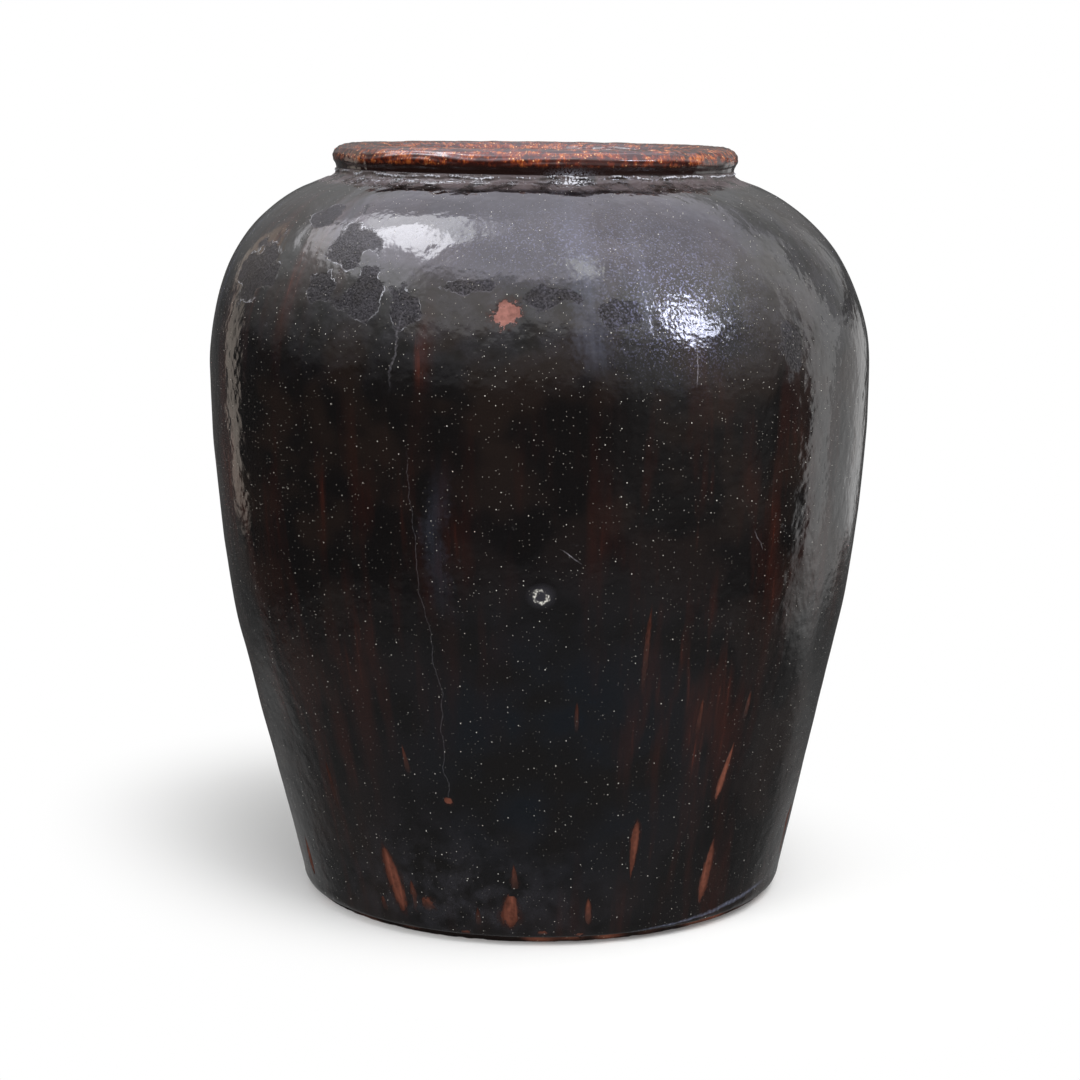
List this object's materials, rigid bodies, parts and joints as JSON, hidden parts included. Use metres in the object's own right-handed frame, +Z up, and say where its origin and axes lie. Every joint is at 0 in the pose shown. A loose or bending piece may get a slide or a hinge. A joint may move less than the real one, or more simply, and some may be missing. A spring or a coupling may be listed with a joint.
{
  "type": "large coil-built storage jar",
  "caption": "Tall dark-glazed stoneware storage jar, straight flared wall, full shoulder, narrow groove and heavy rolled lip round a wide open mouth.",
  "frame": {"origin": "on the floor under the centre of the foot, on the jar's axis", "axes": "+Z up along the jar's axis to the mouth; -Y is the side seen in the picture; +X to the picture's right"},
  "size_m": [0.7036, 0.7034, 0.8],
  "materials": {
    "foot_clay": "bare gritty fired clay",
    "wall_clay": "fired coil clay under glaze",
    "slip": "fired luting slip",
    "dark_glaze": "black-brown gloss",
    "lip_glaze": "mottled rust-brown semi gloss",
    "inside_wash": "thin brown wash, satin"
  },
  "bodies": {
    "root": {"base_slab": "foot_clay", "corner_coil": "wall_clay", "wall_course_1": "wall_clay", "wall_course_2": "wall_clay", "wall_course_3": "wall_clay", "wall_course_4": "wall_clay", "wall_course_5": "wall_clay", "wall_course_6": "wall_clay", "shoulder_course_1": "wall_clay", "shoulder_course_2": "wall_clay", "shoulder_course_3": "wall_clay", "shoulder_course_4": "wall_clay", "shoulder_course_5": "wall_clay", "neck_collar": "wall_clay", "rolled_lip": "wall_clay", "luting_slip": "slip", "body_glaze": "dark_glaze", "lip_glaze": "lip_glaze", "inside_wash": "inside_wash"}
  },
  "joints": []
}
